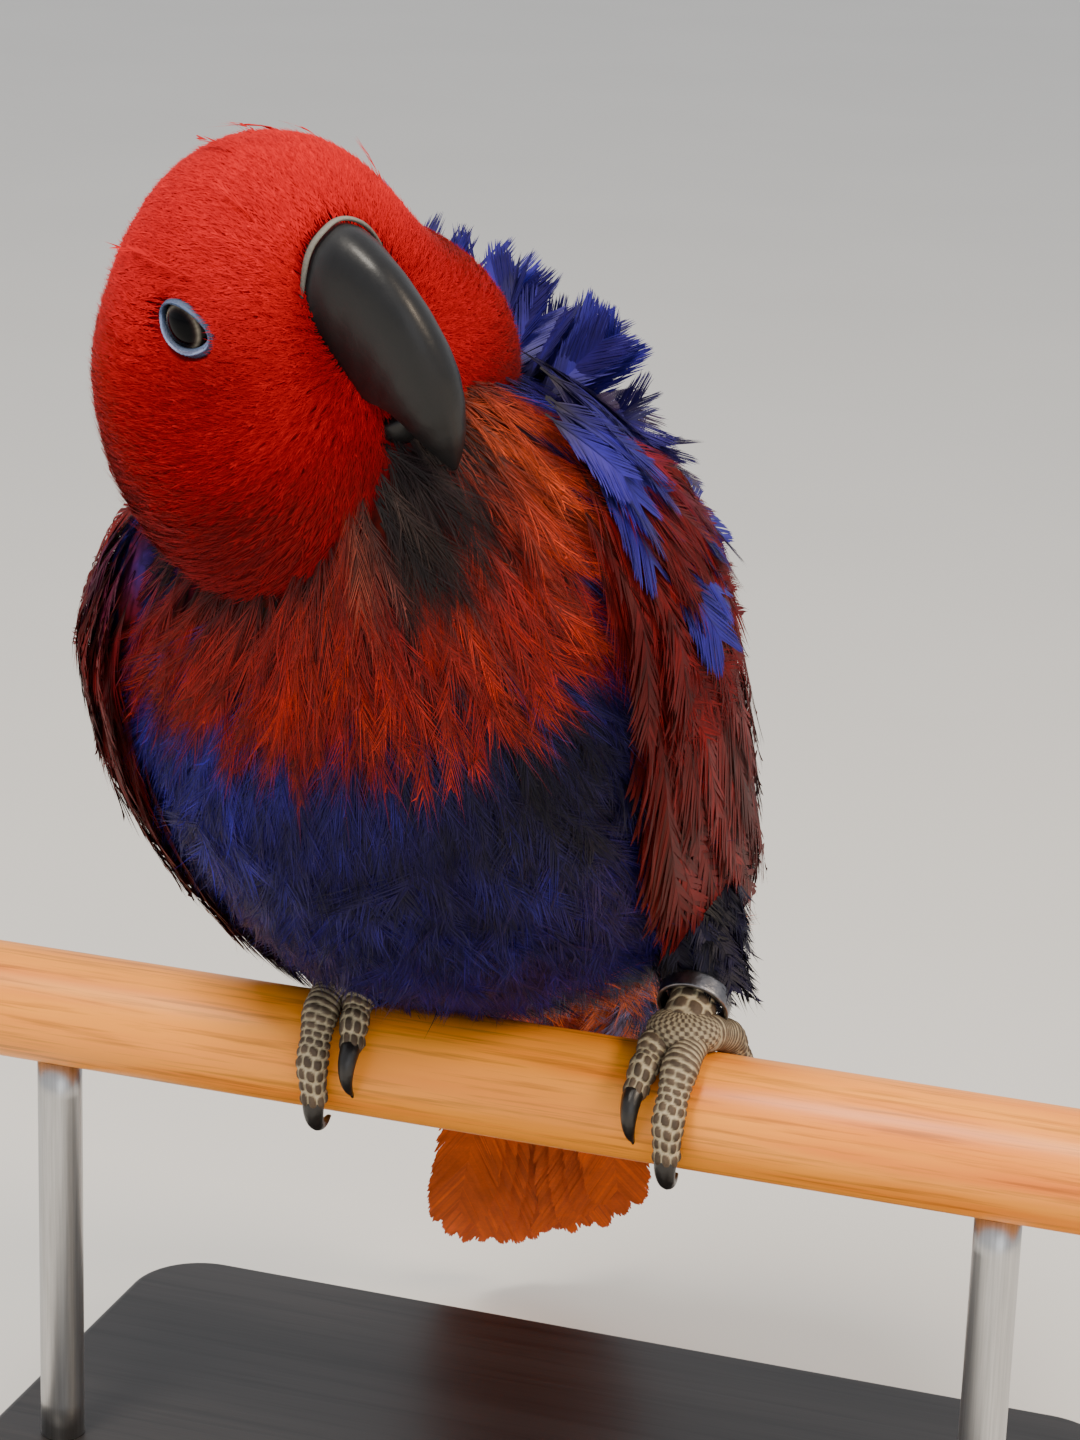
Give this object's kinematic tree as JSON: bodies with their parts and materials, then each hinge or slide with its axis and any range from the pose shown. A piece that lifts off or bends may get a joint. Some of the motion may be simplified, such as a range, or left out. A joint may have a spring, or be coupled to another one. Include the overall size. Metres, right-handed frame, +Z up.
{
  "type": "eclectus parrot on a perch stand",
  "caption": "Life-size female eclectus parrot gripping a short dowel, head cocked, with folded wings and hanging tail, on a plain stand.",
  "frame": {"origin": "on the floor under the middle of the stand's base, straight below the middle of the dowel", "axes": "+Z up; the dowel runs along X; the bird faces -Y, turned a little to its left, and its tail hangs towards +Y"},
  "size_m": [0.212, 0.1792, 0.2569],
  "materials": {
    "head_feathers": "short velvety feathers, bright red",
    "body_feathers": "soft hair-like feathers, red bib over a blue-violet belly and mantle",
    "wing_feathers": "firm dark red feathers with a faint sheen",
    "tail_feathers": "orange-red feathers",
    "leg_feathers": "short blue-violet feathers",
    "bill": "charcoal-black horn, softly glossy",
    "cere": "bare grey skin",
    "eye": "wet, dark, with a pale iris",
    "eyelid": "bare blue-grey skin",
    "foot_skin": "scaly grey skin with dark scutes",
    "claw": "black-brown horn",
    "ring": "worn grey metal",
    "dowel": "honey-coloured varnish",
    "stand_rods": "satin",
    "stand_base": "black stained, satin"
  },
  "bodies": {
    "root": {"beak_lower": "bill", "beak_upper": "bill", "cere": "cere", "claw_left_1": "claw", "claw_left_2": "claw", "claw_left_3": "claw", "claw_left_4": "claw", "claw_right_1": "claw", "claw_right_2": "claw", "claw_right_3": "claw", "claw_right_4": "claw", "eye_left": "eye", "eye_right": "eye", "head": "head_feathers", "leg_ring": "ring", "lids_left": "eyelid", "lids_right": "eyelid", "neck": "body_feathers", "perch": "dowel", "shank_left": "foot_skin", "shank_right": "foot_skin", "stand_base": "stand_base", "stand_rod_left": "stand_rods", "stand_rod_right": "stand_rods", "tail": "tail_feathers", "thigh_left": "leg_feathers", "thigh_right": "leg_feathers", "toe_left_1": "foot_skin", "toe_left_2": "foot_skin", "toe_left_3": "foot_skin", "toe_left_4": "foot_skin", "toe_right_1": "foot_skin", "toe_right_2": "foot_skin", "toe_right_3": "foot_skin", "toe_right_4": "foot_skin", "torso": "body_feathers", "wing_left": "wing_feathers", "wing_right": "wing_feathers"}
  },
  "joints": []
}
